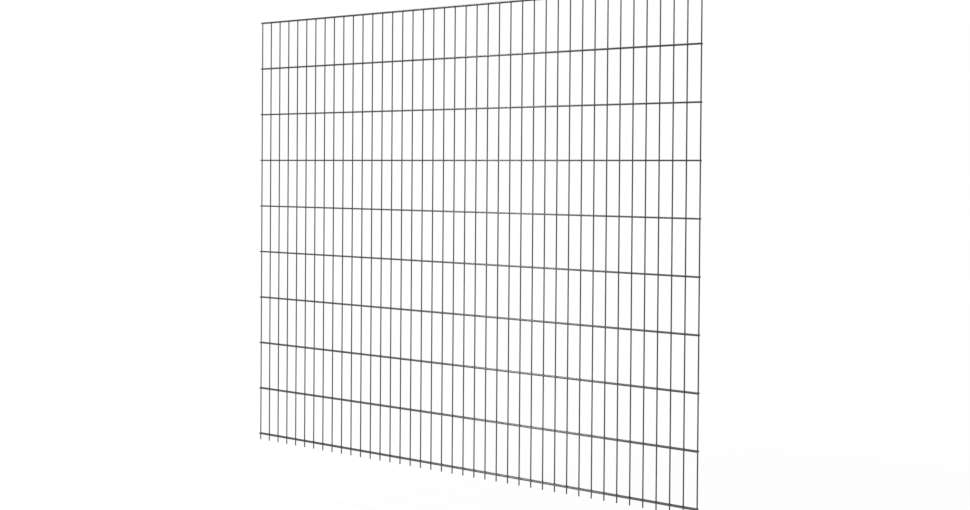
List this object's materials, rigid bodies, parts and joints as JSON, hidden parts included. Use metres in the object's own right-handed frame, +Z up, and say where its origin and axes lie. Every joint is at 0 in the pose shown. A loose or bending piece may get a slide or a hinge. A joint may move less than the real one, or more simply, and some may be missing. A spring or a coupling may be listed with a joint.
{
  "type": "welded mesh fence panel",
  "caption": "Flat rigid fence panel of straight upright wires welded between pairs of cross wires, with short spikes along its bottom edge.",
  "frame": {"origin": "on the rear face of the bottom rear cross wire, straight behind the axis of the first upright wire from the left", "axes": "+X along the panel to the right as seen from the front, +Y out of the rear towards the posts, +Z up"},
  "size_m": [2.006, 0.0168, 1.83],
  "materials": {
    "coat": "dark grey powder coat over galvanised steel, satin"
  },
  "bodies": {
    "root": {"rear_mesh": "coat", "front_wire_01": "coat", "front_wire_02": "coat", "front_wire_03": "coat", "front_wire_04": "coat", "front_wire_05": "coat", "front_wire_06": "coat", "front_wire_07": "coat", "front_wire_08": "coat", "front_wire_09": "coat", "front_wire_10": "coat"}
  },
  "joints": []
}
